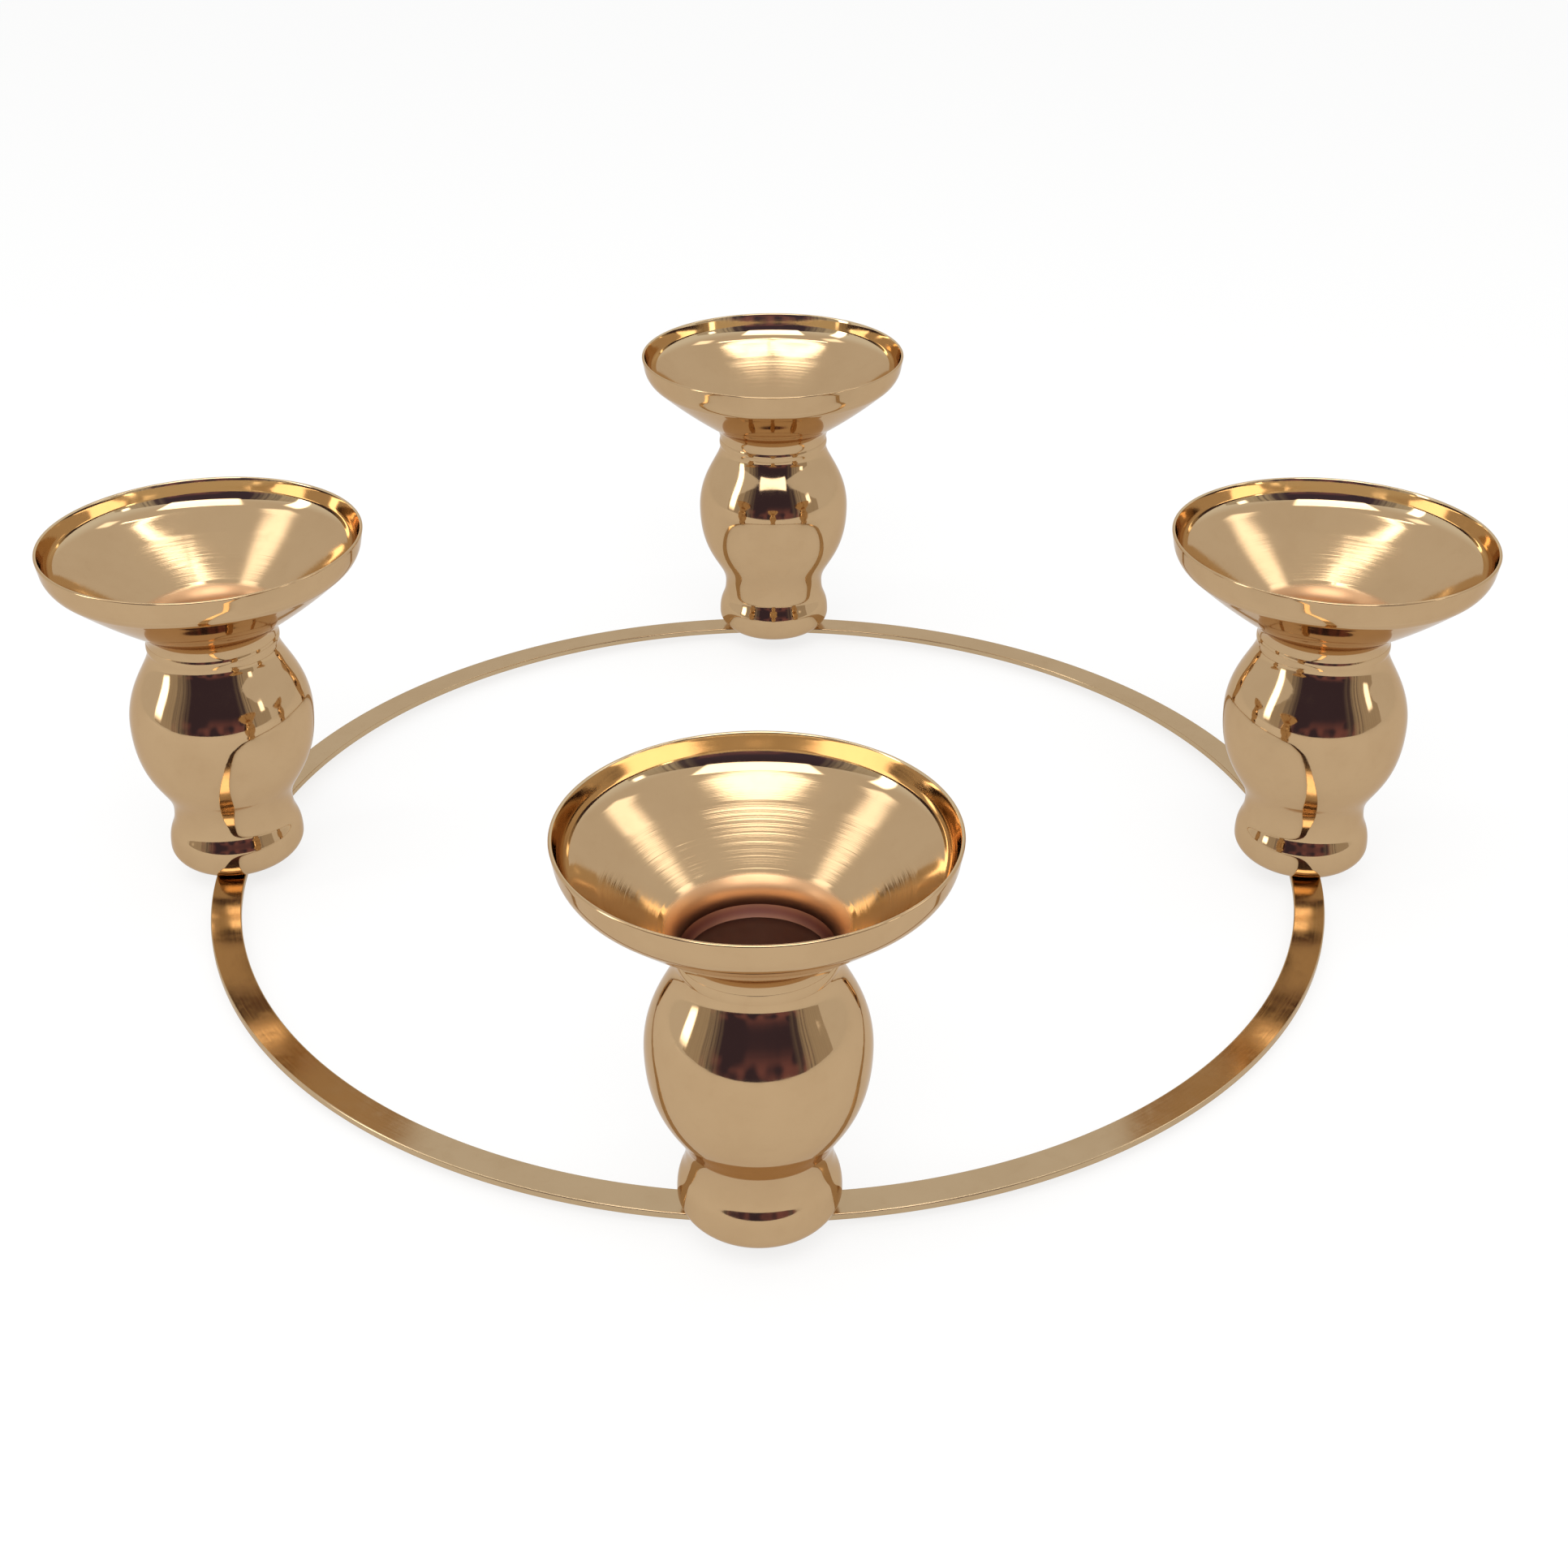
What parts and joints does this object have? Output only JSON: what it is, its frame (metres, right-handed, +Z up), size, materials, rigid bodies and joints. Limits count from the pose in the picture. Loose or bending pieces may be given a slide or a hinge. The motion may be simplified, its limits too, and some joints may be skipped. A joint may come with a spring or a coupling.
{
  "type": "advent candle holder",
  "caption": "Round flat ring that carries equal spun holders, each with a wide wax dish, a candle socket, a ball, a waist and a rounded foot.",
  "frame": {"origin": "centre of the ring, on the plane of the surface that the screw heads stand on", "axes": "+Z up; +X to the right holder and +Y to the back holder as the picture shows them"},
  "size_m": [0.2796, 0.2796, 0.0741],
  "materials": {
    "ring_metal": "polished, champagne gold",
    "cup_metal": "polished outside, finely turned inside the dish, champagne gold",
    "body_metal": "polished, champagne gold",
    "disc_metal": "plain turned",
    "screw_metal": "zinc plated"
  },
  "bodies": {
    "root": {"ring": "ring_metal", "cup_front": "cup_metal", "cup_right": "cup_metal", "cup_back": "cup_metal", "cup_left": "cup_metal", "body_front": "body_metal", "body_right": "body_metal", "body_back": "body_metal", "body_left": "body_metal", "base_disc_front": "disc_metal", "base_disc_right": "disc_metal", "base_disc_back": "disc_metal", "base_disc_left": "disc_metal", "fixing_screws": "screw_metal", "socket_washers": "screw_metal", "socket_nuts": "screw_metal"}
  },
  "joints": []
}
